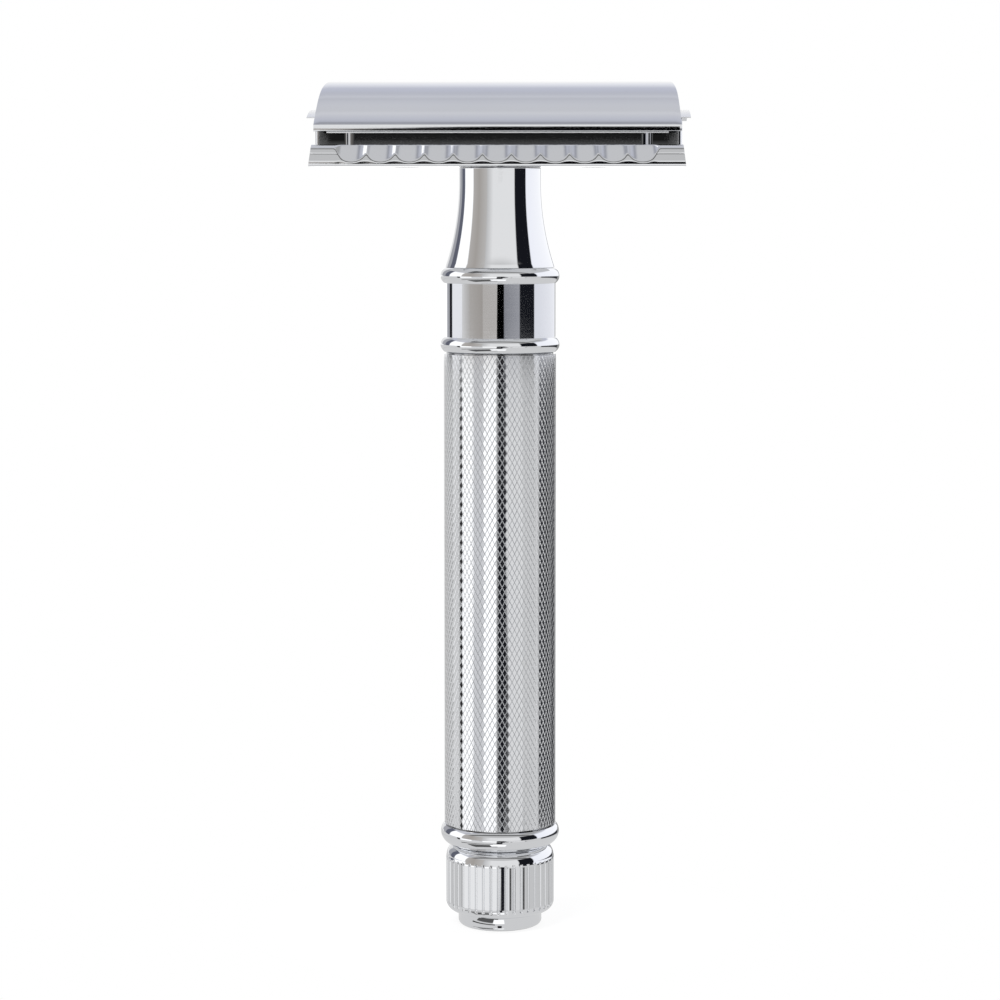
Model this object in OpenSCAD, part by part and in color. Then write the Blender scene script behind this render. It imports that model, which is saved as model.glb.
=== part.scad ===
// Three-piece double-edge safety razor.
// Millimetres. The razor stands on its foot: the origin is the middle of the foot's flat face,
// +Z runs up the handle to the crown of the cap, and +X runs along the blade's cutting edges.

/* [Head] */
// Length of the base plate along the blade
plate_len = 41; // [40:0.1:42]
// Depth of the base plate over both safety bars
plate_w = 25.2; // [24.8:0.1:25.6]
// Length of the cap at its lips
cap_len = 40.2; // [39.6:0.1:41.4]
// Depth of the cap over both lips
cap_w = 20.9; // [20.7:0.05:21]
// Height of the cap over its lips
cap_rise = 5.85; // [5.6:0.05:6.4]
// Number of scallops in each safety bar
scallops = 11; // [5:2:11]

/* [Blade] */
// Length of the blade over its end tabs
blade_len = 42.4; // [42.2:0.1:43]
// Width of the flat blade, edge to edge
blade_w = 22; // [21.8:0.05:22]
// Thickness of the blade
blade_t = 0.1; // [0.08:0.01:0.12]
// Radius that the clamped blade is bent to
blade_bend = 22; // [21:0.5:24]

/* [Handle] */
// Radius of the knurled grip
grip_r = 6.34; // [6.2:0.02:6.5]
// Length of the knurled grip
grip_len = 54; // [40:0.5:60]
// Radius of the plain band on the collar
band_r = 6.3; // [6.1:0.02:6.35]
// Radius of the collar's two beads
bead_r = 6.74; // [6.6:0.02:6.9]
// Radius of the neck under the head
neck_r = 4.62; // [4.5:0.05:4.8]
// Radius of the fluted knob
knob_r = 6.17; // [6:0.01:6.3]
// Number of flutes round the knob
flutes = 44; // [24:1:60]

/* [Thread] */
// Nominal radius of the stud's thread
thread_r = 2.5; // [2.4:0.05:2.6]
// Length of thread held by the handle
thread_len = 7; // [5:0.5:7]

/* [Hidden] */
$fn = 96;
fine = 240;                                 // facets on the head's large arcs

chrome = [0.78, 0.79, 0.82];
steel = [0.62, 0.64, 0.67];
brass = [0.80, 0.66, 0.38];
far = 60;                                   // longer than anything that it cuts
rest_gap = 0.02;                            // between faces that rest on each other across a joint
press_gap = 0.01;                           // between faces that are pressed or screwed together

// Handle, from the foot up
foot_r = 4.75;
foot_edge = 0.5;
foot_h = 1.65;
knob_fillet = 1.1;
flute_z0 = foot_h + knob_fillet;
flute_z1 = 7.95;
shoulder_r = 1.45;
knob_top_z = flute_z1 + shoulder_r;
knob_spigot_r = 3;
ring_z0 = knob_top_z + press_gap;
ring_mid_z = 10.78;
ring_r = 6.75;
ring_upper_arc = 1.26;
ring_lower_arc = 1.42;
ring_z1 = 11.66;
ring_hole_r = knob_spigot_r + press_gap;
grip_z0 = ring_z1 + press_gap;
grip_z1 = grip_z0 + grip_len;
grip_bore_r = 5.2;
spigot_r = grip_bore_r - press_gap;
spigot_len = 4;
collar_z0 = grip_z1 + press_gap;
collar_len = 9.55;
collar_z1 = collar_z0 + collar_len;
bead_arc = 1.03;
bead_inset = 0.9;                           // from the collar's end to the middle of a bead
neck_root_r = 4.2;
neck_z0 = collar_z1 + press_gap;
neck_z1 = neck_z0 + 11.2;
flare_arc = 30;                             // radius of the neck's flare in section
flare_top_z = neck_z1 - 1.6;
rod_r = 2;
rod_z0 = 3.6;
rod_z1 = collar_z0 + 4.3;
bush_r = 3.4;
bush_z0 = neck_z1 - 8.5;

// Head, from the handle up
plate_z = neck_z1 + rest_gap;
plate_floor = 0.7;
bar_top_z = plate_z + 2.35;
bar_roll = 0.9;
bar_lean = 0.38;                            // how far the bar's face leans out to its bottom edge
roll_y = plate_w / 2 - bar_lean - bar_roll;
roll_z = bar_top_z - bar_roll;
lip_z = bar_top_z + 1.42;
lip_face = 0.85;
crown_z = lip_z + cap_rise;
channel_z = plate_z + plate_floor;
edge_angle = (blade_w / 2) / blade_bend * 180 / PI;
bend_z = lip_z - 0.14 - blade_bend * cos(edge_angle);
bed_bend = blade_bend - rest_gap;
cap_bend = blade_bend + blade_t + rest_gap;
dome_rise = cap_rise - lip_face;
dome_r = ((cap_w / 2) ^ 2 + dome_rise ^ 2) / (2 * dome_rise);

// Plan sizes of the head
bed_x = 16.6;
bed_y = 9.4;
bed_corner = 1.1;
bed_end_x = 20.3;
bed_end_y = 6.3;
bed_end_corner = 0.6;
pin_x = 10.5;
pin_r = 1.5;
pin_hole_r = pin_r + 0.1;
scallop_pitch = 3.18;
scallop_r = 3.8;
scallop_depth = 0.51;
scallop_tilt = 37;
stud_r = thread_r - 0.05;
stud_z0 = neck_z1 - thread_len;
stud_root_r = 1.9;
root_len = 1.8;                             // how far stud and pins reach into the cap
root_z = bend_z + cap_bend + root_len;
pin_z0 = plate_z + 0.3;

// A solid of revolution made from a half section, x being the radius.
module turned() {
    rotate_extrude() intersection() {
        children();
        translate([0, -far]) square([far, 3 * far]);
    }
}

// A section drawn across the blade (x is row Y, y is row Z) and run along the blade's length.
module along_blade(length) {
    rotate([90, 0, 90]) translate([0, 0, -length / 2]) linear_extrude(length) children();
}

// A plan outline run upwards through the whole head.
module through_head() {
    translate([0, 0, plate_z - 1]) linear_extrude(crown_z - plate_z + 2) children();
}

// A rectangle about the middle with round corners.
module round_box(half_x, half_y, corner) {
    union() {
        square([2 * half_x, 2 * (half_y - corner)], center = true);
        square([2 * (half_x - corner), 2 * half_y], center = true);
        for (sx = [-1, 1], sy = [-1, 1])
            translate([sx * (half_x - corner), sy * (half_y - corner)]) circle(corner);
    }
}

// ---- Head ----

// Section of the cap: a domed outside with upright lips, and a hollow that bends the blade.
module cap_section() {
    difference() {
        intersection() {
            translate([0, crown_z - dome_r]) circle(dome_r, $fn = fine);
            translate([-cap_w / 2, lip_z]) square([cap_w, far]);
        }
        translate([0, bend_z]) circle(cap_bend, $fn = fine);
    }
}

// The ends of the cap lean in a little towards the crown.
module cap_ends() {
    lean = 0.36;
    corner = 0.45;
    half = cap_len / 2;
    rotate([90, 0, 0]) translate([0, 0, -far / 2]) linear_extrude(far) polygon([
        [-half, lip_z - 1],
        [half, lip_z - 1],
        [half, lip_z + lip_face],
        [half - lean, crown_z - corner],
        [half - lean - corner, crown_z + 0.01],
        [-half + lean + corner, crown_z + 0.01],
        [-half + lean, crown_z - corner],
        [-half, lip_z + lip_face]
    ]);
}

// Relief that leaves only the lips and the ends of the cap bearing on the blade.
module cap_relief() {
    relief = 0.35;
    half_x = cap_len / 2 - 2.2;
    half_y = 8.2;
    intersection() {
        along_blade(2 * half_x) intersection() {
            translate([0, bend_z]) circle(cap_bend + relief, $fn = fine);
            translate([-half_y, lip_z]) square([2 * half_y, far]);
        }
        through_head() round_box(half_x, half_y, 1.5);
    }
}

// A straight socket up into the cap for the root of the stud or of a pin.
module cap_socket(x, r) {
    translate([x, 0, lip_z]) cylinder(h = root_z - lip_z, r = r + press_gap);
}

module cap() {
    color(chrome) difference() {
        intersection() {
            along_blade(cap_len + 2) cap_section();
            cap_ends();
        }
        cap_relief();
        cap_socket(0, stud_root_r);
        cap_socket(-pin_x, pin_r);
        cap_socket(pin_x, pin_r);
    }
}

// Threaded stud that draws the cap down, with a plain root pressed into the cap.
module cap_stud() {
    step_z = bend_z + cap_bend + 0.15;          // under the cap's hollow at the step's rim
    point = 0.5;
    color(chrome) union() {
        translate([0, 0, step_z - 0.5]) cylinder(h = root_z - press_gap - step_z + 0.5, r = stud_root_r);
        translate([0, 0, stud_z0 + point]) cylinder(h = step_z - stud_z0 - point, r = stud_r);
        translate([0, 0, stud_z0]) cylinder(h = point, r1 = stud_r - point, r2 = stud_r);
    }
}

// A plain pin that passes through the blade and the base plate and keeps them square to the cap.
module alignment_pin(x) {
    point = 0.4;
    color(chrome) translate([x, 0, pin_z0]) union() {
        translate([0, 0, point]) cylinder(h = root_z - press_gap - pin_z0 - point, r = pin_r);
        cylinder(h = point, r1 = pin_r - point, r2 = pin_r);
    }
}

module left_pin() { alignment_pin(-pin_x); }
module right_pin() { alignment_pin(pin_x); }

// Plan of the blade: two long edges, narrower end tabs, and the slot that clears stud and pins.
module blade_plan() {
    edge_len = 37.3;
    tab_w = 12.9;
    difference() {
        union() {
            square([edge_len, blade_w + 2], center = true);
            square([blade_len, tab_w], center = true);
        }
        square([33, 1.8], center = true);
        circle(3.1);
        for (s = [-1, 1]) {
            translate([s * pin_x, 0]) circle(2.2);
            translate([s * 16.4, 0]) rotate(45) square(2.9, center = true);
        }
    }
}

module blade() {
    half_chord = blade_bend * sin(edge_angle);
    color(steel) intersection() {
        along_blade(blade_len + 2) difference() {
            intersection() {
                translate([0, bend_z]) circle(blade_bend + blade_t, $fn = fine);
                translate([-half_chord, bend_z]) square([2 * half_chord, far]);
            }
            translate([0, bend_z]) circle(blade_bend, $fn = fine);
        }
        through_head() blade_plan();
    }
}

// Section of the safety bar at positive Y: a rounded top over a face that leans out to its bottom edge.
module bar_section() {
    inner_y = roll_y - bar_roll;
    union() {
        translate([roll_y, roll_z]) circle(bar_roll, $fn = 64);
        polygon([
            [inner_y, roll_z],
            [roll_y + bar_roll, roll_z],
            [plate_w / 2, plate_z + 0.35],
            [plate_w / 2 - 0.25, plate_z],
            [inner_y - 0.6, plate_z],
            [inner_y - 0.6, channel_z]
        ]);
    }
}

// The floor of the plate between the two bars.
module floor_section() {
    half = roll_y - bar_roll - 0.3;
    translate([-half, plate_z]) square([2 * half, plate_floor]);
}

// The raised bed that backs the blade, narrower at the ends where the blade has its tabs.
module blade_bed() {
    intersection() {
        along_blade(2 * bed_end_x + 2) intersection() {
            translate([0, bend_z]) circle(bed_bend, $fn = fine);
            translate([-bed_y - 1, channel_z - 0.3]) square([2 * bed_y + 2, far]);
        }
        through_head() union() {
            round_box(bed_x, bed_y, bed_corner);
            round_box(bed_end_x, bed_end_y, bed_end_corner);
        }
    }
}

// Round-bottomed cuts over the shoulder of each safety bar, deepest at the crest.
module bar_scallops() {
    reach = bar_roll + scallop_r - scallop_depth;
    for (turn = [0, 180], i = [0 : scallops - 1])
        rotate(turn) translate([(i - (scallops - 1) / 2) * scallop_pitch, roll_y, roll_z])
            rotate([scallop_tilt, 0, 0]) translate([0, reach, -3]) cylinder(h = 6, r = scallop_r);
}

module base_plate() {
    color(chrome) difference() {
        union() {
            along_blade(plate_len) floor_section();
            along_blade(plate_len) bar_section();
            along_blade(plate_len) mirror([1, 0]) bar_section();
            blade_bed();
        }
        bar_scallops();
        translate([0, 0, plate_z]) cylinder(h = 10, r = thread_r + 0.15);
        for (s = [-1, 1]) translate([s * pin_x, 0, plate_z]) cylinder(h = 10, r = pin_hole_r);
    }
}

// ---- Handle ----

// Flared neck, with a root that fills the collar and takes the tie rod.
module neck() {
    color(chrome) difference() {
        turned() difference() {
            union() {
                translate([0, neck_z0]) square([bead_r, neck_z1 - neck_z0]);
                translate([0, collar_z0 + 0.5]) square([neck_root_r, collar_len]);
            }
            translate([neck_r + flare_arc, flare_top_z]) circle(flare_arc, $fn = 720);
            translate([neck_r, flare_top_z]) square([far, far]);
        }
        translate([0, 0, bush_z0]) cylinder(h = far, r = bush_r + press_gap);
        translate([0, 0, collar_z0 - 1]) cylinder(h = rod_z1 - collar_z0 + 1.2, r = rod_r + press_gap);
    }
}

// Tapped bush in the top of the neck that the cap's stud screws into.
module thread_bush() {
    floor_t = 0.8;
    color(brass) translate([0, 0, bush_z0 + press_gap]) difference() {
        cylinder(h = neck_z1 - bush_z0 - press_gap, r = bush_r);
        translate([0, 0, floor_t]) cylinder(h = far, r = thread_r);
    }
}

// Collar: a plain band between two beads, with a spigot down into the grip.
module collar() {
    color(chrome) turned() difference() {
        union() {
            translate([0, collar_z0]) square([band_r, collar_len]);
            translate([0, collar_z0 - spigot_len]) square([spigot_r, spigot_len + 1]);
            intersection() {
                translate([0, collar_z0]) square([far, collar_len]);
                for (z = [collar_z0 + bead_inset, collar_z1 - bead_inset])
                    translate([bead_r - bead_arc, z]) circle(bead_arc);
            }
        }
        translate([0, collar_z0 + 0.5 - press_gap]) square([neck_root_r + press_gap, far]);
        translate([0, collar_z0 - far / 2]) square([rod_r + press_gap, far]);
    }
}

module grip_tube() {
    color(chrome) translate([0, 0, grip_z0]) difference() {
        cylinder(h = grip_len, r = grip_r);
        translate([0, 0, -1]) cylinder(h = grip_len + 2, r = grip_bore_r);
    }
}

// Rod inside the grip that pulls the neck and the knob together.
module tie_rod() {
    color(steel) translate([0, 0, rod_z0]) cylinder(h = rod_z1 - rod_z0, r = rod_r);
}

// Beaded ring under the grip, with a spigot up into its bore.
module lower_ring() {
    color(chrome) turned() difference() {
        union() {
            intersection() {
                translate([0, ring_mid_z]) square([far, ring_z1 - ring_mid_z]);
                translate([ring_r - ring_upper_arc, ring_mid_z]) circle(ring_upper_arc);
            }
            intersection() {
                translate([0, ring_z0]) square([far, ring_mid_z - ring_z0]);
                translate([ring_r - ring_lower_arc, ring_mid_z]) circle(ring_lower_arc);
            }
            translate([0, ring_z0]) square([spigot_r, ring_z1 + spigot_len - ring_z0]);
        }
        translate([0, ring_z0 - 1]) square([ring_hole_r, far]);
    }
}

// Half section of the knob: a small foot, a fluted body with a round shoulder, and a spigot.
module knob_section() {
    inner_r = knob_r - shoulder_r;
    union() {
        square([foot_r - foot_edge, foot_h + 1]);
        translate([0, foot_edge]) square([foot_r, foot_h]);
        translate([foot_r - foot_edge, foot_edge]) circle(foot_edge);
        translate([0, foot_h]) square([knob_r - knob_fillet, flute_z1 - foot_h]);
        translate([0, flute_z0]) square([knob_r, flute_z1 - flute_z0]);
        translate([knob_r - knob_fillet, flute_z0]) circle(knob_fillet);
        translate([inner_r, flute_z1]) circle(shoulder_r);
        translate([0, flute_z1 - 1]) square([inner_r, shoulder_r + 1]);
        translate([0, flute_z1]) square([knob_spigot_r, ring_z1 - flute_z1 + 1]);
    }
}

// Narrow upright grooves round the knob.
module knob_flutes() {
    groove_r = 0.16;
    margin = 0.25;
    for (i = [0 : flutes - 1]) rotate(i * 360 / flutes)
        translate([knob_r + 0.03, 0, flute_z0 - margin])
            cylinder(h = flute_z1 - flute_z0, r = groove_r, $fn = 24);
}

module knob() {
    color(chrome) difference() {
        turned() knob_section();
        knob_flutes();
        translate([0, 0, rod_z0 - press_gap]) cylinder(h = far, r = rod_r + press_gap);
    }
}

cap();
cap_stud();
left_pin();
right_pin();
blade();
base_plate();
neck();
thread_bush();
collar();
grip_tube();
tie_rod();
lower_ring();
knob();
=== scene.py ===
"""Double-edge safety razor: the visual model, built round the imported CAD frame.

Meshes are worked out in millimetres in the CAD's own frame and scaled to metres when they are made.
"""
import math

import bmesh
import bpy
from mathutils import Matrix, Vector


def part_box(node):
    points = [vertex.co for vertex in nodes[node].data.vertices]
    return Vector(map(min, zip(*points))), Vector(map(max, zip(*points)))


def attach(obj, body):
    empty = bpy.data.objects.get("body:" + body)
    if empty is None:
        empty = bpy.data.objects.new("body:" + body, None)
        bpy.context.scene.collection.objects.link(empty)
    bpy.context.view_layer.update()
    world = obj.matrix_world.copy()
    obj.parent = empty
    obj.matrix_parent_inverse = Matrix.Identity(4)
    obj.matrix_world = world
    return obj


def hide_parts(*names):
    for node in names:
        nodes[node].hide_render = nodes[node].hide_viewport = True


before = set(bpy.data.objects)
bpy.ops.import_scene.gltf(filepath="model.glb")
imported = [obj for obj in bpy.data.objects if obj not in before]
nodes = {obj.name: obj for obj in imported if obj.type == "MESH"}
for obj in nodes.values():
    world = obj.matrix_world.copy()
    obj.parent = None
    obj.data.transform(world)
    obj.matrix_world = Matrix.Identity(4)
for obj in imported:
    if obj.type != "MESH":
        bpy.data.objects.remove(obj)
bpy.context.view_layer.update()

MM = 0.001


def box_mm(node):
    """A CAD node's lowest and highest corner, in millimetres."""
    low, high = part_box(node)
    return low / MM, high / MM


# ---------------------------------------------------------------- camera

VIEW_TURN = 1.57  # degrees that the camera stands to the right of square-on


def make_camera():
    """The photograph's viewpoint: a little under the head, so the view falls towards the foot."""
    distance, eye_z, aim_z = 330, 82.8, 55.65  # millimetres
    data = bpy.data.cameras.new("camera")
    data.lens = 105
    data.sensor_width = 36
    data.shift_y = -0.06
    data.clip_start = 0.01
    data.clip_end = 20
    camera = bpy.data.objects.new("camera", data)
    bpy.context.scene.collection.objects.link(camera)
    turn = math.radians(VIEW_TURN)
    camera.location = Vector((distance * math.sin(turn), -distance * math.cos(turn), eye_z)) * MM
    aim = Vector((0, 0, aim_z)) * MM
    camera.rotation_euler = (aim - camera.location).to_track_quat("-Z", "Y").to_euler()
    bpy.context.scene.camera = camera


make_camera()


# ---------------------------------------------------------------- node helpers

def add_node(tree, kind, inputs=(), **settings):
    """A shader node with its settings and inputs, each input a value or another node's output."""
    node = tree.nodes.new(kind)
    for key, value in settings.items():
        setattr(node, key, value)
    for key, value in dict(inputs).items():
        if isinstance(value, bpy.types.NodeSocket):
            tree.links.new(value, node.inputs[key])
        else:
            node.inputs[key].default_value = value
    return node


def maths(tree, operation, *values):
    """One step of arithmetic between sockets or numbers."""
    return add_node(tree, "ShaderNodeMath", enumerate(values), operation=operation).outputs[0]


def remap(tree, value, low, high, to_low=0.0, to_high=1.0, smooth=False):
    """A value carried from one range to another and held at its ends."""
    kind = "SMOOTHSTEP" if smooth else "LINEAR"
    inputs = {"Value": value, "From Min": low, "From Max": high, "To Min": to_low, "To Max": to_high}
    return add_node(tree, "ShaderNodeMapRange", inputs, interpolation_type=kind).outputs[0]


def mix_colour(tree, factor, first, second):
    """The first colour where the factor is 0 and the second where it is 1."""
    inputs = {0: factor, 6: first, 7: second}
    return add_node(tree, "ShaderNodeMix", inputs, data_type="RGBA").outputs[2]


def colour_ramp(tree, factor, stops):
    """A colour ramp from (place, colour) stops."""
    node = add_node(tree, "ShaderNodeValToRGB", {"Fac": factor})
    elements = node.color_ramp.elements
    while len(elements) > 1:
        elements.remove(elements[-1])
    for index, (place, colour) in enumerate(stops):
        element = elements[0] if index == 0 else elements.new(place)
        element.position = place
        element.color = (*colour, 1)
    return node.outputs["Color"]


def separate(tree, vector):
    """The X, Y and Z of a vector."""
    return add_node(tree, "ShaderNodeSeparateXYZ", {"Vector": vector}).outputs


def noise(tree, scale, detail, roughness=0.5):
    """Noise in object coordinates, scaled differently along each axis."""
    place = add_node(tree, "ShaderNodeTexCoord").outputs["Object"]
    stretched = add_node(tree, "ShaderNodeMapping", {"Vector": place, "Scale": scale}).outputs[0]
    inputs = {"Vector": stretched, "Scale": 1.0, "Detail": detail, "Roughness": roughness}
    return add_node(tree, "ShaderNodeTexNoise", inputs).outputs["Fac"]


# ---------------------------------------------------------------- studio

def grey(level, blue=0.0, warm=0.0):
    """A grey of a display level, where 1 is white, leaning to lavender or to beige."""
    red, green, blue_level = level + warm - 0.2 * blue, level, level + blue - warm
    return tuple(max(0.0, c) ** 2.2 for c in (red, green, blue_level))


WHITE = grey(1.1)
BLACK = grey(0.12, blue=0.02)
PANEL_EDGE = 1.0  # degrees over which one upright panel turns into the next


def turn_ramp(tree, azimuth, pieces):
    """Upright panels round the whole turn.

    Each is (start in degrees, colour there) or (start in degrees, colour there, colour at its end)."""
    stops = []
    ends = [piece[0] for piece in pieces[1:]] + [180]
    for (start, *colours), end in zip(pieces, ends):
        first = start + (PANEL_EDGE / 2 if start > -180 else 0)
        last = end - (PANEL_EDGE / 2 if end < 180 else 0)
        stops.append(((first + 180) / 360, colours[0]))
        stops.append(((last + 180) / 360, colours[-1]))
    return colour_ramp(tree, remap(tree, azimuth, -180.0, 180.0), stops)


def between(tree, value, low, high, edge):
    """1 where the value is between low and high, numbers or sockets, with soft edges."""
    rise = remap(tree, maths(tree, "SUBTRACT", value, low), -edge / 2, edge / 2)
    fall = remap(tree, maths(tree, "SUBTRACT", high, value), -edge / 2, edge / 2)
    return maths(tree, "MULTIPLY", rise, fall)


def upright_panels(tree, azimuth, elevation):
    """The studio below the sky: one row of upright panels for each part of the handle, then the table."""
    at_neck = turn_ramp(tree, azimuth, [
        (-180, WHITE), (-172, grey(0.95), grey(0.9)), (-150, grey(0.66, blue=0.02)),
        (-132, grey(0.40, blue=0.05)), (-115, WHITE), (-80, grey(0.71, warm=0.015), grey(0.65, warm=0.02)),
        (-60, grey(0.65, warm=0.02), grey(0.74, warm=0.01)), (-36, grey(0.77), grey(0.93)),
        (-18, grey(0.93)), (41, BLACK), (77, grey(1.0, blue=0.03), grey(1.05, blue=0.01)),
        (160, grey(0.62, blue=0.03), grey(0.72)), (168, WHITE),
    ])
    at_band = turn_ramp(tree, azimuth, [
        (-180, WHITE), (-142, grey(0.66, blue=0.02)), (-128, BLACK), (-117, grey(0.95, blue=0.015)),
        (-85, grey(0.84), grey(0.70, warm=0.01)), (-66, grey(0.68, warm=0.015), grey(0.62, warm=0.02)),
        (-36, grey(0.70, warm=0.015)), (-2, BLACK), (8, grey(0.52, blue=0.025), grey(0.61, blue=0.025)),
        (41, BLACK), (75, grey(0.90, blue=0.03), grey(0.98, blue=0.02)), (154, grey(0.8)), (173, WHITE),
    ])
    at_grip = turn_ramp(tree, azimuth, [
        (-180, grey(0.84)), (-92, grey(0.12)), (-84, WHITE), (-57, grey(0.84, blue=0.01)), (-34, WHITE),
        (-5.8, BLACK), (9.5, grey(0.90)), (48, grey(0.84)), (87, grey(0.22, blue=0.015)), (150, grey(0.6)),
    ])
    at_knob = turn_ramp(tree, azimuth, [
        (-180, grey(0.80)), (-90, grey(0.3)), (-85, grey(0.96)), (2, BLACK), (9, grey(0.94)),
        (20, grey(0.2)), (24, grey(0.88)), (50, grey(0.3)), (54, grey(0.80)), (140, grey(0.78)),
    ])
    # The rows meet at the elevations where one part's reflections end and the next part's begin.
    colour = mix_colour(tree, remap(tree, elevation, -1.45, -1.25), at_band, at_neck)
    colour = mix_colour(tree, remap(tree, elevation, -3.10, -3.00), at_grip, colour)
    colour = mix_colour(tree, remap(tree, elevation, -12.75, -12.5), at_knob, colour)
    return mix_colour(tree, remap(tree, elevation, -16.0, -14.1), (*grey(0.84), 1), colour)


def sky(tree, arch):
    """The studio overhead, in bands along the blade; the angle climbs from the front over to the back."""
    return colour_ramp(tree, remap(tree, arch, 0.0, 180.0), [(angle / 180, colour) for angle, colour in (
        (51, grey(0.78)), (54, grey(0.42)), (64, grey(0.42)), (67, grey(0.80)),
        (77.5, grey(0.80, blue=0.01)), (79.3, grey(0.63, blue=0.03)), (80.3, grey(0.63, blue=0.03)),
        (81.5, grey(0.735, blue=0.04)), (84, grey(0.775, blue=0.04)), (88, grey(0.805, blue=0.03)),
        (92.5, grey(0.84, blue=0.02)), (96, grey(0.81, blue=0.02)), (105, grey(0.81, blue=0.025)),
        (112, grey(0.79, blue=0.03)), (115, grey(0.77, blue=0.03)), (119.5, grey(0.81, blue=0.03)),
        (123.5, grey(0.775, blue=0.035)), (127, grey(0.763, blue=0.04)), (133, grey(0.775, blue=0.05)),
        (139, grey(0.79, blue=0.05)), (144, grey(0.86, blue=0.035)), (151, grey(0.93, blue=0.025)),
        (162, grey(0.985)), (170, grey(1.0)),
    )])


def make_studio():
    """A white studio whose dark and light panels show only in the razor's chrome."""
    world = bpy.data.worlds.new("studio")
    bpy.context.scene.world = world
    world.use_nodes = True
    tree = world.node_tree
    tree.nodes.clear()
    x, y, z = separate(tree, add_node(tree, "ShaderNodeTexCoord").outputs["Generated"])
    front = maths(tree, "MULTIPLY", y, -1.0)
    azimuth = maths(tree, "SUBTRACT", maths(tree, "DEGREES", maths(tree, "ARCTAN2", x, front)), VIEW_TURN)
    elevation = maths(tree, "DEGREES", maths(tree, "ARCSINE", z))
    arch = maths(tree, "DEGREES", maths(tree, "ARCTAN2", z, front))

    colour = upright_panels(tree, azimuth, elevation)
    # The sky starts well above the horizon, and comes down to it only behind the razor.
    sky_start = remap(tree, maths(tree, "ABSOLUTE", azimuth), 150.0, 170.0, 33.0, 4.0)
    above = maths(tree, "SUBTRACT", elevation, sky_start)
    colour = mix_colour(tree, remap(tree, above, -3.0, 3.0, smooth=True), colour, sky(tree, arch))

    # The first two cards widen downwards: the cap's lips mirror one, and the grip mirrors the other.
    below = remap(tree, elevation, 0.15, -3.15)
    spread = maths(tree, "MULTIPLY", maths(tree, "POWER", below, 0.7), 3.5)
    lip_side = maths(tree, "SUBTRACT", -3.4, spread)
    grip_side = remap(tree, elevation, -12.4, -3.0, 18.0, 10.5)
    # Single cards: azimuth and elevation range in degrees, softness of the edges, colour.
    for left, right, low, high, edge, card in (
        (lip_side, 8.0, -3.05, 0.15, 0.2, grey(0.03)),
        (-5.8, grip_side, -12.6, -3.05, 0.3, BLACK),
        (-7.0, 5.0, -28.0, -14.0, 1.5, BLACK),
        (-98.0, -84.5, 52.5, 60.5, 1.5, WHITE),
        (-79.0, -7.0, -60.0, -39.0, 2.0, grey(0.35)),
        (60.0, 120.0, 40.0, 58.0, 6.0, grey(0.66)),
        (-90.0, -15.0, -34.0, -30.0, 1.0, grey(0.25)),
        (-22.0, 14.0, -54.0, -36.0, 2.0, WHITE),
    ):
        across = between(tree, azimuth, left, right, edge)
        up = between(tree, elevation, low, high, edge)
        colour = mix_colour(tree, maths(tree, "MULTIPLY", across, up), colour, (*card, 1))

    shown = add_node(tree, "ShaderNodeBackground", {"Color": (1, 1, 1, 1), "Strength": 1.0}).outputs[0]
    reflected = add_node(tree, "ShaderNodeBackground", {"Color": colour, "Strength": 1.0}).outputs[0]
    is_camera = add_node(tree, "ShaderNodeLightPath").outputs["Is Camera Ray"]
    surface = add_node(tree, "ShaderNodeMixShader", {0: is_camera, 1: reflected, 2: shown}).outputs[0]
    add_node(tree, "ShaderNodeOutputWorld", {"Surface": surface})


def make_floor():
    """A pale floor that takes a soft shadow and stays out of the chrome's reflections."""
    bm = bmesh.new()
    bmesh.ops.create_circle(bm, cap_ends=True, segments=96, radius=1.5)
    data = bpy.data.meshes.new("floor")
    bm.to_mesh(data)
    bm.free()
    floor = bpy.data.objects.new("floor", data)
    bpy.context.scene.collection.objects.link(floor)
    floor.location.z = -0.02 * MM
    floor.visible_glossy = False
    material = bpy.data.materials.new("floor")
    material.use_nodes = True
    tree = material.node_tree
    tree.nodes.clear()
    place = add_node(tree, "ShaderNodeTexCoord").outputs["Object"]
    away = add_node(tree, "ShaderNodeVectorMath", {0: place}, operation="LENGTH").outputs["Value"]
    paper = add_node(tree, "ShaderNodeBsdfDiffuse", {"Color": (0.85, 0.85, 0.85, 1)}).outputs[0]
    glow = add_node(tree, "ShaderNodeEmission", {"Color": (1, 1, 1, 1), "Strength": 1.0}).outputs[0]
    # Paper takes the shadow close to the foot and fades into an even white further out.
    share = remap(tree, away, 0.004, 0.03, 0.86, 1.0, smooth=True)
    surface = add_node(tree, "ShaderNodeMixShader", {0: share, 1: paper, 2: glow}).outputs[0]
    add_node(tree, "ShaderNodeOutputMaterial", {"Surface": surface})
    data.materials.append(material)


def make_light(name, place, power):
    """A soft overhead lamp that the chrome doesn't mirror; its place is in metres."""
    data = bpy.data.lights.new(name, "AREA")
    data.size = 0.7
    data.energy = power
    lamp = bpy.data.objects.new(name, data)
    bpy.context.scene.collection.objects.link(lamp)
    lamp.location = place
    lamp.rotation_euler = (-lamp.location).to_track_quat("-Z", "Y").to_euler()
    lamp.visible_glossy = False


make_studio()
make_floor()
make_light("key_light", Vector((-0.5, -0.6, 0.9)), 14)
make_light("fill_light", Vector((0.7, 0.2, 0.8)), 8)
bpy.context.scene.view_settings.view_transform = "Standard"


# ---------------------------------------------------------------- materials

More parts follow.
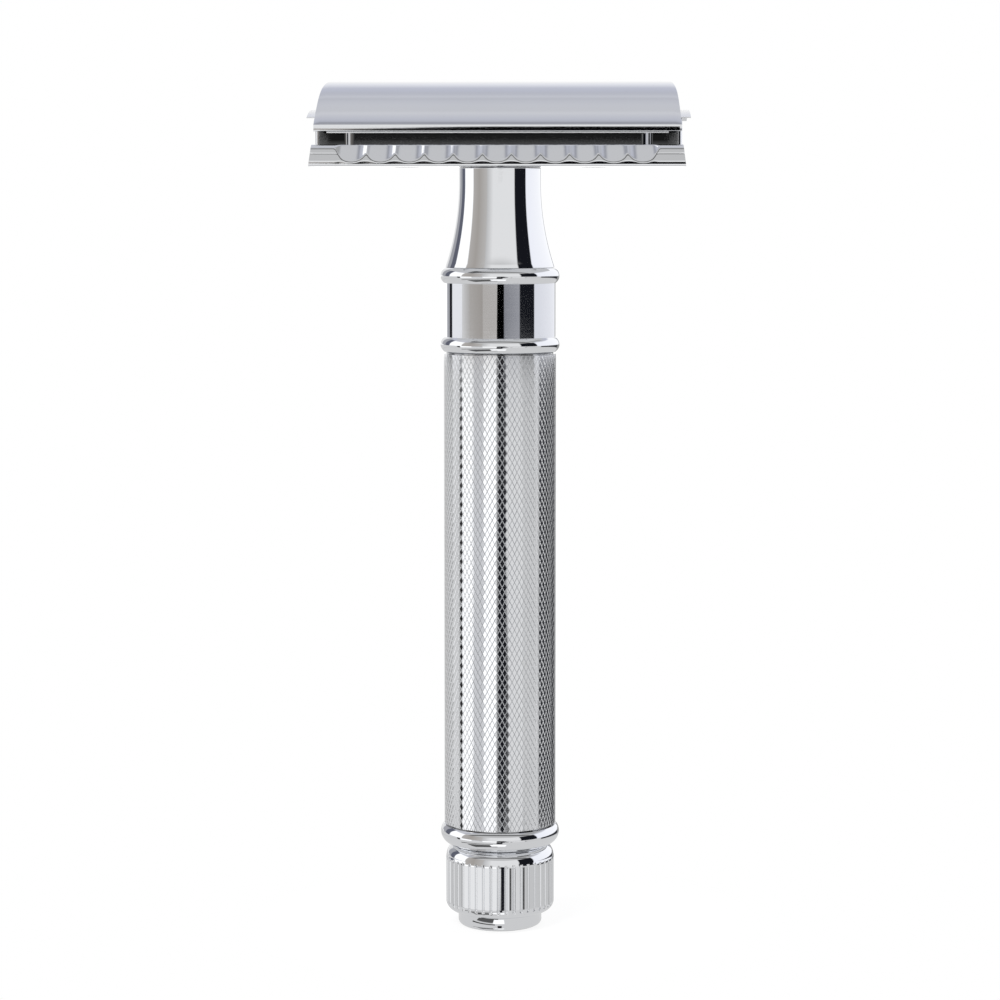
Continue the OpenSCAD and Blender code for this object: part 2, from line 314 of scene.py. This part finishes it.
def kept_to_core(tree, lit, half_depth, height, facing_x):
    """Clears the painted shade outside a half depth and below a height, both in millimetres.

    It is half cleared on what faces sideways, and a faint painted light is left low in the channel."""
    x, y, z = separate(tree, add_node(tree, "ShaderNodeTexCoord").outputs["Object"])
    outside = remap(tree, maths(tree, "ABSOLUTE", y), half_depth * MM, (half_depth + 1.2) * MM)
    under = remap(tree, z, (height - 0.2) * MM, height * MM, 1.0, 0.0)
    sideways = remap(tree, maths(tree, "ABSOLUTE", facing_x), 0.15, 0.6, 0.0, 0.5)
    # Painted light: a faint brightening low in the channel, in place of light off the channel's floor.
    painted_floor_light = remap(tree, z, (height + 1.9) * MM, (height + 2.5) * MM, 0.075, 0.0)
    for clearing in (outside, under, sideways, painted_floor_light):
        lit = maths(tree, "MAXIMUM", lit, clearing)
    return lit


def metal(name, colour, roughness, spread, bump, scratches, crease, core=None):
    """A bare metal with polishing marks, and painted shade where it looks into a crease.

    The roughness varies by spread from its lowest value. bump is the marks' height in metres, and
    scratches is how closely they lie along each axis.
    crease sets the painted shade in creases: (how far off a facing wall still darkens it, in millimetres,
    the openness at which it is darkest, the openness at which it is clear, the share of its colour that is
    left where darkest).
    What faces down is never given painted shade. core is (half depth, height), as in kept_to_core."""
    material = bpy.data.materials.new(name)
    material.use_nodes = True
    tree = material.node_tree
    tree.nodes.clear()
    marks = noise(tree, scratches, detail=4.0, roughness=0.65)
    clouds = noise(tree, (90.0, 90.0, 90.0), detail=2.0)
    wear = maths(tree, "ADD", maths(tree, "MULTIPLY", marks, 0.6), maths(tree, "MULTIPLY", clouds, 0.4))
    rough = remap(tree, wear, 0.3, 0.7, roughness, roughness + spread)
    relief = add_node(tree, "ShaderNodeBump", {"Height": marks, "Strength": 1.0, "Distance": bump})
    shade = mix_colour(tree, clouds, (*[c * 0.97 for c in colour], 1), (*colour, 1))
    # Painted shade: an ambient-occlusion node darkens the base colour where a wall stands near.
    reach, closed, clear, left = crease
    openness = add_node(tree, "ShaderNodeAmbientOcclusion", {"Distance": reach * MM}, samples=8)
    lit = remap(tree, openness.outputs["AO"], closed, clear, left, 1.0)
    normal = separate(tree, add_node(tree, "ShaderNodeNewGeometry").outputs["Normal"])
    lit = maths(tree, "MAXIMUM", lit, remap(tree, normal["Z"], -0.95, -0.8, 1.0, 0.0))
    if core:
        lit = kept_to_core(tree, lit, *core, normal["X"])
    painted_shade = add_node(tree, "ShaderNodeVectorMath", {0: shade, "Scale": lit}, operation="SCALE")
    inputs = {
        "Base Color": painted_shade.outputs["Vector"], "Metallic": 1.0, "Roughness": rough,
        "Normal": relief.outputs[0],
    }
    principled = add_node(tree, "ShaderNodeBsdfPrincipled", inputs)
    add_node(tree, "ShaderNodeOutputMaterial", {"Surface": principled.outputs[0]})
    return material


CHROME = (0.86, 0.87, 0.89)
# A slight painted shade in creases, for the blade, the bush and the rod.
SLIGHT_CREASE_SHADE = (0.3, 0.2, 0.5, 0.2)
# Painted shade darkens the seams and grooves of the turned pieces, such as between the handle's pieces.
turned_chrome = metal(
    "turned_chrome", CHROME, roughness=0.025, spread=0.03, bump=2e-7, scratches=(300.0, 300.0, 9000.0),
    crease=(0.25, 0.2, 0.5, 0.12))
# Painted shade darkens the cap wherever a wall stands within 5 millimetres, as in its hollow.
head_chrome = metal(
    "head_chrome", CHROME, roughness=0.03, spread=0.04, bump=2e-7, scratches=(400.0, 5000.0, 5000.0),
    crease=(5.0, 0.2, 0.5, 0.03))
# Strong painted shade darkens the bed's walls and the channel inside the head, kept there by the core, so
# the gap under the cap reads black.
bar_chrome = metal(
    "bar_chrome", CHROME, roughness=0.03, spread=0.05, bump=3e-7, scratches=(7000.0, 500.0, 500.0),
    crease=(5.0, 0.6, 0.9, 0.012), core=(10.4, 87.0))
# Painted shade darkens the knurl's grooves.
knurl_chrome = metal(
    "knurl_chrome", CHROME, roughness=0.05, spread=0.06, bump=3e-7, scratches=(3000.0, 3000.0, 3000.0),
    crease=(0.3, 0.28, 0.55, 0.03))
blade_steel = metal(
    "blade_steel", (0.80, 0.81, 0.83), roughness=0.12, spread=0.1, bump=1e-6,
    scratches=(200.0, 6000.0, 6000.0), crease=SLIGHT_CREASE_SHADE)
bush_brass = metal(
    "bush_brass", (0.78, 0.60, 0.30), roughness=0.15, spread=0.1, bump=1e-6,
    scratches=(400.0, 400.0, 9000.0), crease=SLIGHT_CREASE_SHADE)
rod_steel = metal(
    "rod_steel", (0.50, 0.51, 0.53), roughness=0.25, spread=0.15, bump=1e-6,
    scratches=(4000.0, 4000.0, 200.0), crease=SLIGHT_CREASE_SHADE)


# ---------------------------------------------------------------- mesh helpers

def finish_piece(name, bm, body, material, replaced, smooth_angle=38):
    """Makes a mesh in millimetres into a piece in metres that rides on a body and replaces CAD nodes."""
    bmesh.ops.recalc_face_normals(bm, faces=bm.faces)
    bmesh.ops.scale(bm, vec=(MM, MM, MM), verts=bm.verts)
    data = bpy.data.meshes.new(name)
    bm.to_mesh(data)
    bm.free()
    data.shade_smooth()
    data.set_sharp_from_angle(angle=math.radians(smooth_angle))
    data.materials.append(material)
    piece = bpy.data.objects.new(name, data)
    bpy.context.scene.collection.objects.link(piece)
    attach(piece, body)
    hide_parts(replaced)


def arc(centre, radius, start, end, count):
    """Points along an arc in a section, angles in degrees from the first axis towards the second."""
    turn = [math.radians(start + (end - start) * i / count) for i in range(count + 1)]
    return [(centre[0] + radius * math.cos(a), centre[1] + radius * math.sin(a)) for a in turn]


def down_face(start, pieces):
    """Points down a face in a section: each piece is (tilt at its top, tilt at its bottom, height, steps).

    The tilt is how far the face looks up, in degrees."""
    y, z = start
    points = [start]
    for upper, lower, height, steps in pieces:
        for i in range(steps):
            tilt = upper + (lower - upper) * (i + 0.5) / steps
            y += math.tan(math.radians(tilt)) * height / steps
            z -= height / steps
            points.append((y, z))
    return points


def even_turn(count):
    """Evenly spaced angles round a whole turn."""
    return [2 * math.pi * i / count for i in range(count)]


def lathe(section, angles, radius=None):
    """A solid of revolution from a closed section of (radius, height) points; radius() may shape it."""
    bm = bmesh.new()
    rings = []
    for angle in angles:
        ring = []
        for r, z in section:
            if radius:
                r = radius(r, z, angle)
            ring.append(bm.verts.new((r * math.cos(angle), r * math.sin(angle), z)))
        rings.append(ring)
    count = len(section)
    for i, ring in enumerate(rings):
        after = rings[(i + 1) % len(rings)]
        for j in range(count):
            k = (j + 1) % count
            bm.faces.new((ring[j], after[j], after[k], ring[k]))
    bmesh.ops.remove_doubles(bm, verts=bm.verts, dist=1e-5)
    bmesh.ops.dissolve_degenerate(bm, edges=bm.edges, dist=1e-6)
    return bm


def smooth_step(value):
    """A value held between 0 and 1, with a level start and end."""
    value = min(1.0, max(0.0, value))
    return value * value * (3 - 2 * value)


def soft_min(first, second, blend):
    """The smaller of two values, rounded over where they are within blend of each other."""
    overlap = max(blend - abs(first - second), 0.0) / blend
    return min(first, second) - overlap * overlap * blend / 4


def cut_across(bm, place, normal, clear_outer=False):
    """Cuts every face of a mesh along a plane."""
    geometry = bm.verts[:] + bm.edges[:] + bm.faces[:]
    bmesh.ops.bisect_plane(
        bm, geom=geometry, plane_co=place, plane_no=normal, clear_outer=clear_outer, dist=1e-5)


def extrude_rim(bm, rim):
    """Extrudes a rim of edges and gives the new vertices and the new rim."""
    made = bmesh.ops.extrude_edge_only(bm, edges=rim)["geom"]
    verts = [item for item in made if isinstance(item, bmesh.types.BMVert)]
    edges = [item for item in made if isinstance(item, bmesh.types.BMEdge) and item.is_boundary]
    return verts, edges


def round_rims(bm, rims, radius, segments):
    """Rounds edges over by a radius."""
    bmesh.ops.bevel(
        bm, geom=rims, offset=radius, segments=segments, profile=0.5, affect="EDGES", clamp_overlap=True)


def sweep_along_blade(section_at, stations):
    """A solid from closed sections of (x, y, z) points at each station along X, and its two end faces."""
    bm = bmesh.new()
    rings = [[bm.verts.new(point) for point in section_at(x)] for x in stations]
    count = len(rings[0])
    for ring, after in zip(rings, rings[1:]):
        for j in range(count):
            k = (j + 1) % count
            bm.faces.new((ring[j], after[j], after[k], ring[k]))
    ends = [bm.faces.new(rings[0]), bm.faces.new(list(reversed(rings[-1])))]
    return bm, ends


# ---------------------------------------------------------------- cap

BLADE_BEND = 22.0  # radius that the clamped blade is bent to
BEND_CENTRE_Z = box_mm("blade")[1].z - BLADE_BEND - 0.1  # height of the axis it is bent round


def make_cap():
    """The domed cap: lips with a full face, a hollow underside, and ends that round in to the crown."""
    cap_high = box_mm("cap")[1]
    half_y, half_x = cap_high.y, cap_high.x
    rise, under = 5.1, BLADE_BEND + 0.12
    face_top = cap_high.z - rise
    dome = (half_y ** 2 + rise ** 2) / (2 * rise)
    reach = math.degrees(math.asin(half_y / dome))
    tip_angle = math.degrees(math.asin(half_y / under))
    crease, lip_edge = 0.03, 0.09
    outside = arc((0, cap_high.z - dome), dome, 90 - reach + 0.1, 90 + reach - 0.1, 96)
    inside = arc((0, BEND_CENTRE_Z), under, 90 + tip_angle, 90 - tip_angle, 64)
    lip_top, glint = face_top - crease, 0.1
    full = lip_top - glint - lip_edge - inside[0][1]
    # A narrow glint under the crease, then a face that turns gently under down to the lip's edge.
    lip = down_face((half_y - 0.01, lip_top), [(8, 1, glint, 5), (-0.45, -2.15, full, 12)])
    edge_y, edge_z = lip[-1]
    lip += arc((edge_y - lip_edge, edge_z), lip_edge, -8, -84, 6)
    section = outside + [(-y, z) for y, z in lip] + inside[2:-2] + lip[::-1]

    def drawn_in(z):
        """How far the cap's ends stand in from the lips' ends at a height."""
        t = max(0.0, (z - face_top) / rise)
        return 0.5 * t + 0.5 * t ** 8

    stations = [-half_x, 0.7 - half_x, half_x - 0.7, half_x]
    bm, _ = sweep_along_blade(lambda x: [(x, y, z) for y, z in section], stations)
    for share in (0.5, 0.7, 0.8, 0.87, 0.93, 0.97):
        cut_across(bm, (0, 0, face_top + rise * share), (0, 0, 1))
    rims = [
        edge for edge in bm.edges
        if sum(abs(face.normal.x) > 0.9 for face in edge.link_faces) == 1
    ]
    for vert in bm.verts:
        inset = drawn_in(vert.co.z)
        if abs(vert.co.x) < half_x - 0.01:
            inset = min(0.5, inset)
        vert.co.x -= math.copysign(inset, vert.co.x)
    round_rims(bm, rims, 0.3, 4)
    finish_piece("cap_shell", bm, "top", head_chrome, "cap", smooth_angle=30)


# ---------------------------------------------------------------- base plate

plate_low, plate_high = box_mm("base_plate")


def make_plate():
    """The plate: a channel between two safety bars, whose rolled crests are cut by scallops."""
    half_x, half_y = plate_high.x, plate_high.y
    floor_z, bar_h = plate_low.z, 2.35
    channel_z = floor_z + 0.7
    roll, lean, end_lean = 0.9, 0.38, 0.28
    roll_y, roll_z = half_y - lean - roll, floor_z + bar_h - roll
    pitch, scoops, scoop_r, scoop_depth = 3.18, 11, 3.8, 0.51
    tilt = math.radians(37)
    away = (math.cos(tilt), math.sin(tilt))
    under_edge, strip_step, low_turn = 0.3, 0.05, 1.85
    dent, dent_half, dent_drop = 0.02, 0.04, 0.08
    blend = 0.05

    def outline_at(x):
        """The plate's outline at positive Y, from the middle of the underside to the channel's middle.

        The face turns under in a strip that is deeper between the scallops than below them."""
        wave = math.cos(2 * math.pi * x / pitch) * smooth_step((17.6 - abs(x)) / 0.6)
        strip = 0.19 - 0.09 * wave
        strip_z = floor_z + under_edge * (1 - math.sin(math.radians(low_turn))) + strip
        turned = down_face((0, strip_z), [(-1.2, -low_turn, strip, 6)])
        centre_y = half_y + turned[-1][0] - under_edge * math.cos(math.radians(low_turn))
        points = [(0, floor_z), (4, floor_z), (8, floor_z), (11, floor_z)]
        points += arc((centre_y, floor_z + under_edge), under_edge, -90, -low_turn - 0.5, 12)
        points += [(half_y + y, z) for y, z in turned[::-1]]
        low = (half_y - 0.008, strip_z + strip_step)
        reach = math.dist(low, (roll_y, roll_z))
        meet = math.atan2(low[1] - roll_z, low[0] - roll_y) + math.acos(roll / reach)
        high = (roll_y + roll * math.cos(meet), roll_z + roll * math.sin(meet))
        # The face from low to high, in shares of its length, with one shallow dent along it.
        fold = (roll_z - dent_drop - low[1]) / (high[1] - low[1])
        face = [((fold - dent_half) * i / 6, 0.0) for i in range(7)] + [(fold, dent)]
        face += [(fold + dent_half + (1 - dent_half - fold) * i / 6, 0.0) for i in range(6)]
        for t, inset in face:
            points.append((low[0] + (high[0] - low[0]) * t - inset, low[1] + (high[1] - low[1]) * t))
        points += arc((roll_y, roll_z), roll, math.degrees(meet), 180, 34)
        points.append((roll_y - roll, channel_z + 0.35))
        points += arc((roll_y - roll - 0.3, channel_z + 0.3), 0.3, 0, -90, 5)
        points += [(9, channel_z), (6, channel_z), (0, channel_z)]
        return points

    def scooped(x, y, z):
        """A point of the outline, drawn back to the scallops where they cut it."""
        rel_y, rel_z = y - roll_y, z - roll_z
        if y < roll_y - roll:
            return y, z
        along = rel_y * away[0] + rel_z * away[1]
        index = min(max(round(x / pitch), -(scoops // 2)), scoops // 2)
        cut = None
        for near in (index - 1, index, index + 1):
            rel = x - near * pitch
            if abs(near) <= scoops // 2 and abs(rel) < scoop_r:
                depth = roll - scoop_depth + scoop_r - math.sqrt(scoop_r ** 2 - rel ** 2)
                cut = depth if cut is None else soft_min(cut, depth, blend)
        if cut is None:
            return y, z
        shift = soft_min(along, cut, blend) - along
        return y + shift * away[0], z + shift * away[1]

    def section_at(x):
        """The whole section, drawn in a little along X towards its top."""
        slant = 1 - end_lean / half_x
        ring = []
        right = [(y, *scooped(x, y, z)) for y, z in outline_at(x)]
        left = [(-y, -sy, sz) for y, sy, sz in right[1:-1]]
        for y, cut_y, cut_z in right + left[::-1]:
            t = min(1.0, max(0.0, (cut_z - floor_z) / bar_h))
            ring.append((x * (1 + (slant - 1) * t), cut_y, cut_z))
        return ring

    step = pitch / 24
    count = int(18.5 / step)
    stations = [i * step for i in range(-count, count + 1)]
    stations = [-half_x, -half_x + 0.6, -half_x + 1.2] + stations + [half_x - 1.2, half_x - 0.6, half_x]
    bm, ends = sweep_along_blade(section_at, stations)
    rims = list({edge for face in ends for edge in face.edges})
    round_rims(bm, rims, 0.12, 3)
    return bm


def make_bed():
    """The raised bed under the blade, with its rim rounded over."""
    half_x, half_y, corner = 16.6, 9.4, 1.1
    tab_x, tab_y, tab_corner, meet = 20.3, 6.3, 0.6, 0.5
    quarter = arc((tab_x - tab_corner, tab_y - tab_corner), tab_corner, 0, 90, 8)
    quarter += arc((half_x + meet, tab_y + meet), meet, 270, 180, 6)
    quarter += arc((half_x - corner, half_y - corner), corner, 0, 90, 10)
    outline = []
    for sx, sy in ((1, 1), (-1, 1), (-1, -1), (1, -1)):
        turned = [(sx * x, sy * y) for x, y in quarter]
        outline += turned if sx * sy > 0 else turned[::-1]
    top_r = BLADE_BEND - 0.02
    round_over, base_z = 0.28, plate_low.z + 0.45

    def top_z(y):
        """Height of the bed's crowned top."""
        return BEND_CENTRE_Z + math.sqrt(top_r ** 2 - y ** 2)

    bm = bmesh.new()
    verts = [bm.verts.new((x, y, 0)) for x, y in outline]
    bm.faces.new(verts)
    level = -9.2
    while level < 9.3:
        cut_across(bm, (0, level, 0), (0, 1, 0))
        level += 0.4
    ring = [edge for edge in bm.edges if edge.is_boundary]
    outward = {}
    for edge in ring:
        face = edge.link_faces[0]
        middle = (edge.verts[0].co + edge.verts[1].co) / 2
        along = (edge.verts[1].co - edge.verts[0].co).normalized()
        side = Vector((along.y, -along.x, 0))
        if (face.calc_center_median() - middle).dot(side) > 0:
            side = -side
        for vert in edge.verts:
            outward[vert] = outward.get(vert, Vector()) + side
    steps = 5
    start = {vert: vert.co.copy() for vert in outward}
    for vert in bm.verts:
        if vert in outward:
            vert.co = start[vert] - outward[vert].normalized() * round_over
        vert.co.z = top_z(vert.co.y)
    origin = {vert: vert for vert in outward}
    for i in range(1, steps + 3):
        fresh, ring = extrude_rim(bm, ring)
        above = {}
        for vert in fresh:
            for edge in vert.link_edges:
                other = edge.other_vert(vert)
                if other in origin and other not in fresh:
                    above[vert] = origin[other]
        for vert, root in above.items():
            base = start[root]
            angle = min(i, steps) / steps * math.pi / 2
            inset = round_over * (1 - math.sin(angle))
            position = base - outward[root].normalized() * inset
            drop = round_over * (1 - math.cos(angle))
            wall_top = top_z(base.y) - drop
            vert.co = (position.x, position.y, (wall_top, wall_top - 0.03, base_z)[max(0, i - steps)])
        origin = above
    bm.faces.new(verts_in_order(ring))
    return bm


def verts_in_order(edges):
    """The vertices of a closed loop of edges, in order round it."""
    links = {}
    for edge in edges:
        for vert in edge.verts:
            links.setdefault(vert, []).append(edge)
    order, vert, edge = [], edges[0].verts[0], edges[0]
    for _ in edges:
        order.append(vert)
        vert = edge.other_vert(vert)
        edge = [e for e in links[vert] if e is not edge][0]
    return order


def bm_to_object(name, bm):
    """A plain object from a mesh, for a boolean."""
    bmesh.ops.recalc_face_normals(bm, faces=bm.faces)
    data = bpy.data.meshes.new(name)
    bm.to_mesh(data)
    bm.free()
    made = bpy.data.objects.new(name, data)
    bpy.context.scene.collection.objects.link(made)
    return made


def combined(base, others):
    """One mesh from a base and (object, operation) pairs, whose own objects are used up."""
    for other, operation in others:
        modifier = base.modifiers.new("join", "BOOLEAN")
        modifier.object = other
        modifier.operation = operation
        modifier.solver = "EXACT"
    graph = bpy.context.evaluated_depsgraph_get()
    graph.update()
    bm = bmesh.new()
    bm.from_mesh(base.evaluated_get(graph).to_mesh())
    for used in [base] + [other for other, _ in others]:
        bpy.data.objects.remove(used)
    return bm


def make_base_plate():
    """The plate and its bed in one mesh, with the holes for the stud and the two pins."""
    drill_low, drill_high, pin_x = 80, 96, 10.5
    holes = []
    for x, r in ((0, 2.65), (-pin_x, 1.6), (pin_x, 1.6)):
        drill = lathe([(0, drill_low), (r, drill_low), (r, drill_high), (0, drill_high)], even_turn(64))
        bmesh.ops.translate(drill, vec=(x, 0, 0), verts=drill.verts)
        holes.append((bm_to_object("drill", drill), "DIFFERENCE"))
    plate = bm_to_object("plate", make_plate())
    bed = bm_to_object("bed", make_bed())
    bm = combined(plate, [(bed, "UNION")] + holes)
    finish_piece(
        "scalloped_plate", bm, "plate", bar_chrome, "base_plate", smooth_angle=30)


# ---------------------------------------------------------------- handle

TURN = 240  # steps round each turned piece
ROD_HOLE = 2.01  # radius of the hole for the tie rod
TUBE_SPIGOT = 5.19  # radius of the spigots inside the grip tube


def make_neck():
    """The flared neck on its spigot, hollow at the top for the bush."""
    low, high = box_mm("neck")
    top, throat, flare = high.z, 4.62, 30.0
    flare_top, foot_z = top - 1.6, box_mm("collar")[1].z + 0.01
    steps = 40
    outer = []
    for i in range(steps + 1):
        z = foot_z + (flare_top - foot_z) * i / steps
        outer.append((throat + flare - math.sqrt(flare ** 2 - (flare_top - z) ** 2), z))
    spigot, socket, socket_z = 4.2, 3.41, low.z + 4.0
    section = [(ROD_HOLE, low.z), (spigot, low.z), (spigot, foot_z), (outer[0][0] - 0.1, foot_z)]
    section += [(outer[0][0] - 0.03, foot_z + 0.02)] + outer[1:]
    section += [(throat, top - 0.12)] + arc((throat - 0.1, top - 0.1), 0.1, 0, 90, 3)
    section += [(socket, top), (socket, socket_z), (ROD_HOLE, socket_z)]
    bm = lathe(section, even_turn(TURN))
    finish_piece("flared_neck", bm, "handle", turned_chrome, "neck")


def make_collar():
    """The plain band between two round beads, with a spigot below and a socket for the neck."""
    low, high = box_mm("collar")
    top, bottom = high.z, high.z - 9.55
    band, bead, bead_arc, inset = 6.3, high.x, 1.03, 0.9
    centre_r = bead - bead_arc
    meet = math.degrees(math.acos((band - centre_r) / bead_arc))
    edge = math.degrees(math.asin(inset / bead_arc))
    lower = arc((centre_r, bottom + inset), bead_arc, -edge, meet, 20)
    upper = arc((centre_r, top - inset), bead_arc, -meet, edge, 20)
    plain = [(band, lower[-1][1] + 0.03), (band, upper[0][1] - 0.03)]
    socket, socket_z = 4.21, bottom + 0.5
    section = [(TUBE_SPIGOT, low.z), (TUBE_SPIGOT, bottom - 0.01), (centre_r, bottom)]
    section += lower + plain + upper
    section += [(socket, top), (socket, socket_z), (ROD_HOLE, socket_z), (ROD_HOLE, low.z)]
    bm = lathe(section, even_turn(TURN))
    finish_piece("beaded_collar", bm, "handle", turned_chrome, "collar")


def make_ring():
    """The beaded ring under the grip, fuller below its widest point than above."""
    low, high = box_mm("lower_ring")
    widest, middle, upper, lower = high.x, 10.78, 1.26, 1.42
    hole = 3.01
    ring_top = box_mm("grip_tube")[0].z - 0.01
    low_angle = -math.degrees(math.asin((middle - low.z) / lower))
    top_angle = math.degrees(math.asin((ring_top - middle) / upper))
    section = [(hole, low.z)]
    section += arc((widest - lower, middle), lower, low_angle, 0, 18)
    section += arc((widest - upper, middle), upper, 0, top_angle, 12)[1:]
    section += [(TUBE_SPIGOT, ring_top), (TUBE_SPIGOT, high.z), (hole, high.z)]
    bm = lathe(section, even_turn(TURN))
    finish_piece("beaded_ring", bm, "handle", turned_chrome, "lower_ring")


def make_knob():
    """The knob: a foot, a fluted side and a round shoulder, with a stub that goes into the ring."""
    knob_r, foot_r, foot_edge, foot_h = 6.17, 4.75, 0.5, 1.65
    fillet, shoulder = 1.1, 1.45
    flute_low, flute_high = foot_h + fillet, 7.95
    flutes, groove, groove_depth = 44, 0.14, 0.15
    stub, hole_z, top = 3.0, 3.59, box_mm("knob")[1].z
    section = [(0, 0), (2, 0)] + arc((foot_r - foot_edge, foot_edge), foot_edge, -90, 0, 8)
    section += [(foot_r, foot_h - 0.1), (foot_r + 0.1, foot_h)]
    section += arc((knob_r - fillet, flute_low), fillet, -90, 0, 14)
    # The rows up the side lie closer together where the flutes run out.
    rows = [0.1, 0.2, 0.35, 0.6, 1.2, 2.4, 3.6, 4.2, 4.45, 4.6, 4.7, 4.8, 4.9, 5.0]
    section += [(knob_r, flute_low + z) for z in rows if flute_low + z < flute_high - 0.02]
    section += [(knob_r - 0.01, flute_high)]
    section += arc((knob_r - shoulder - 0.04, flute_high), shoulder, 2, 90, 18)
    section += [(stub, flute_high + shoulder), (stub, top)]
    section += [(ROD_HOLE, top), (ROD_HOLE, hole_z), (0, hole_z)]
    pitch = 2 * math.pi / flutes
    # The steps round lie closer together across each flute.
    offsets = [-0.5, -0.36, -0.24, -0.195, -0.165, -0.13, -0.08, 0.0, 0.08, 0.13, 0.165, 0.195, 0.24, 0.36]
    angles = [(i + offset) * pitch for i in range(flutes) for offset in offsets]

    def fluted(r, z, angle):
        """The radius with the flutes cut in; the foot and everything inside it stay round."""
        if r < foot_r + 0.15:
            return r
        across = abs((angle / pitch + 0.5) % 1 - 0.5) * pitch * knob_r
        wall = min(1.0, across / (groove + 0.02))
        depth = groove_depth * math.sqrt(max(0.0, 1 - wall ** 2))
        run_in = smooth_step((z - flute_low + 0.45) / 0.3) * smooth_step((flute_high - 0.05 - z) / 0.25)
        return r - depth * run_in

    bm = lathe(section, angles, fluted)
    finish_piece("fluted_knob", bm, "handle", turned_chrome, "knob", smooth_angle=50)


def make_grip():
    """The grip: a lattice of flat-topped diamonds between plain margins, on a tube."""
    low, high = box_mm("grip_tube")
    crest, bore = high.x, 5.2
    starts, diamond_h, groove_depth = 71, 1.075, 0.05
    margin, slot, neck_r = 0.2, 0.15, crest - 0.3
    knurl_low, knurl_high = low.z + margin, high.z - margin
    rows = int((high.z - low.z) / diamond_h) + 3
    # Steps across a diamond: the groove, then the flat top's near edge, middle and far edge.
    cell = [0.0, 0.08, 0.5, 0.92]
    bm = bmesh.new()
    grid = {}
    steps = len(cell)

    def vertex(u, v):
        """A vertex of the lattice, u and v counting steps along the two helices."""
        key = ((u - v) % (2 * starts * steps), u + v)
        if key not in grid:
            pu, pv = u // steps + cell[u % steps], v // steps + cell[v % steps]
            angle = (pu - pv) / 2 / starts * 2 * math.pi
            z = low.z - diamond_h + (pu + pv) / 2 * diamond_h
            top = u % steps != 0 and v % steps != 0
            r = crest if top else crest - groove_depth
            grid[key] = bm.verts.new((r * math.cos(angle), r * math.sin(angle), z))
        return grid[key]

    for diagonal in range(starts):
        for along in range(rows):
            for half in range(2):
                cell_u = along + diagonal + half
                cell_v = along - diagonal
                for i in range(steps):
                    for j in range(steps):
                        u, v = cell_u * steps + i, cell_v * steps + j
                        corners = ((u, v), (u + 1, v), (u + 1, v + 1), (u, v + 1))
                        bm.faces.new([vertex(*corner) for corner in corners])
    cut_across(bm, (0, 0, knurl_low), (0, 0, -1), clear_outer=True)
    cut_across(bm, (0, 0, knurl_high), (0, 0, 1), clear_outer=True)
    rims = [[e for e in bm.edges if e.is_boundary and all(abs(v.co.z - z) < 0.01 for v in e.verts)]
            for z in (knurl_low, knurl_high)]
    ends = []
    for rim, profile in zip(rims, (
        [(crest, low.z + slot + 0.02), (neck_r, low.z + slot), (neck_r, low.z), (bore, low.z)],
        [(crest, high.z - slot - 0.02), (neck_r, high.z - slot), (neck_r, high.z), (bore, high.z)],
    )):
        for r, z in profile:
            fresh, rim = extrude_rim(bm, rim)
            for vert in fresh:
                out = Vector((vert.co.x, vert.co.y, 0)).normalized() * r
                vert.co = (out.x, out.y, z)
        ends += rim
    bmesh.ops.bridge_loops(bm, edges=ends)
    finish_piece("knurled_grip", bm, "handle", knurl_chrome, "grip_tube", smooth_angle=20)


def make_stud():
    """The cap's stud with its real helical thread."""
    low, high = box_mm("cap_stud")
    crest, pitch, tooth = high.x, 0.8, 0.43
    plain_z = BEND_CENTRE_Z + BLADE_BEND - 1.0
    steps_a_turn, root = 10, 1.9
    section = [(0, low.z), (crest - 0.62, low.z)]
    z = low.z + 0.02
    while z < plain_z:
        section.append((crest, z))
        z += pitch / steps_a_turn
    section += [(crest, plain_z), (crest, high.z - 1.8), (root, high.z - 1.8), (root, high.z), (0, high.z)]

    def threaded(r, z, angle):
        """The radius with the thread cut in: it fades out below the plain length and ends in a point."""
        if r < crest - 0.01 or z > plain_z:
            return r
        phase = (z / pitch - angle / (2 * math.pi)) % 1
        flank = min(1.0, max(0.0, (abs(phase - 0.5) * 2 - 0.12) / 0.76))
        fade = smooth_step((plain_z - z) / 0.5)
        point = max(0.0, 0.5 - (z - low.z))
        return min(r - tooth * flank * fade, crest - point)

    bm = lathe(section, even_turn(64), threaded)
    finish_piece("threaded_stud", bm, "top", turned_chrome, "cap_stud")


make_cap()
make_base_plate()
make_neck()
make_collar()
make_ring()
make_knob()
make_grip()
make_stud()

for name, material in (
    ("left_pin", turned_chrome), ("right_pin", turned_chrome), ("blade", blade_steel),
    ("thread_bush", bush_brass), ("tie_rod", rod_steel),
):
    nodes[name].data.materials.clear()
    nodes[name].data.materials.append(material)
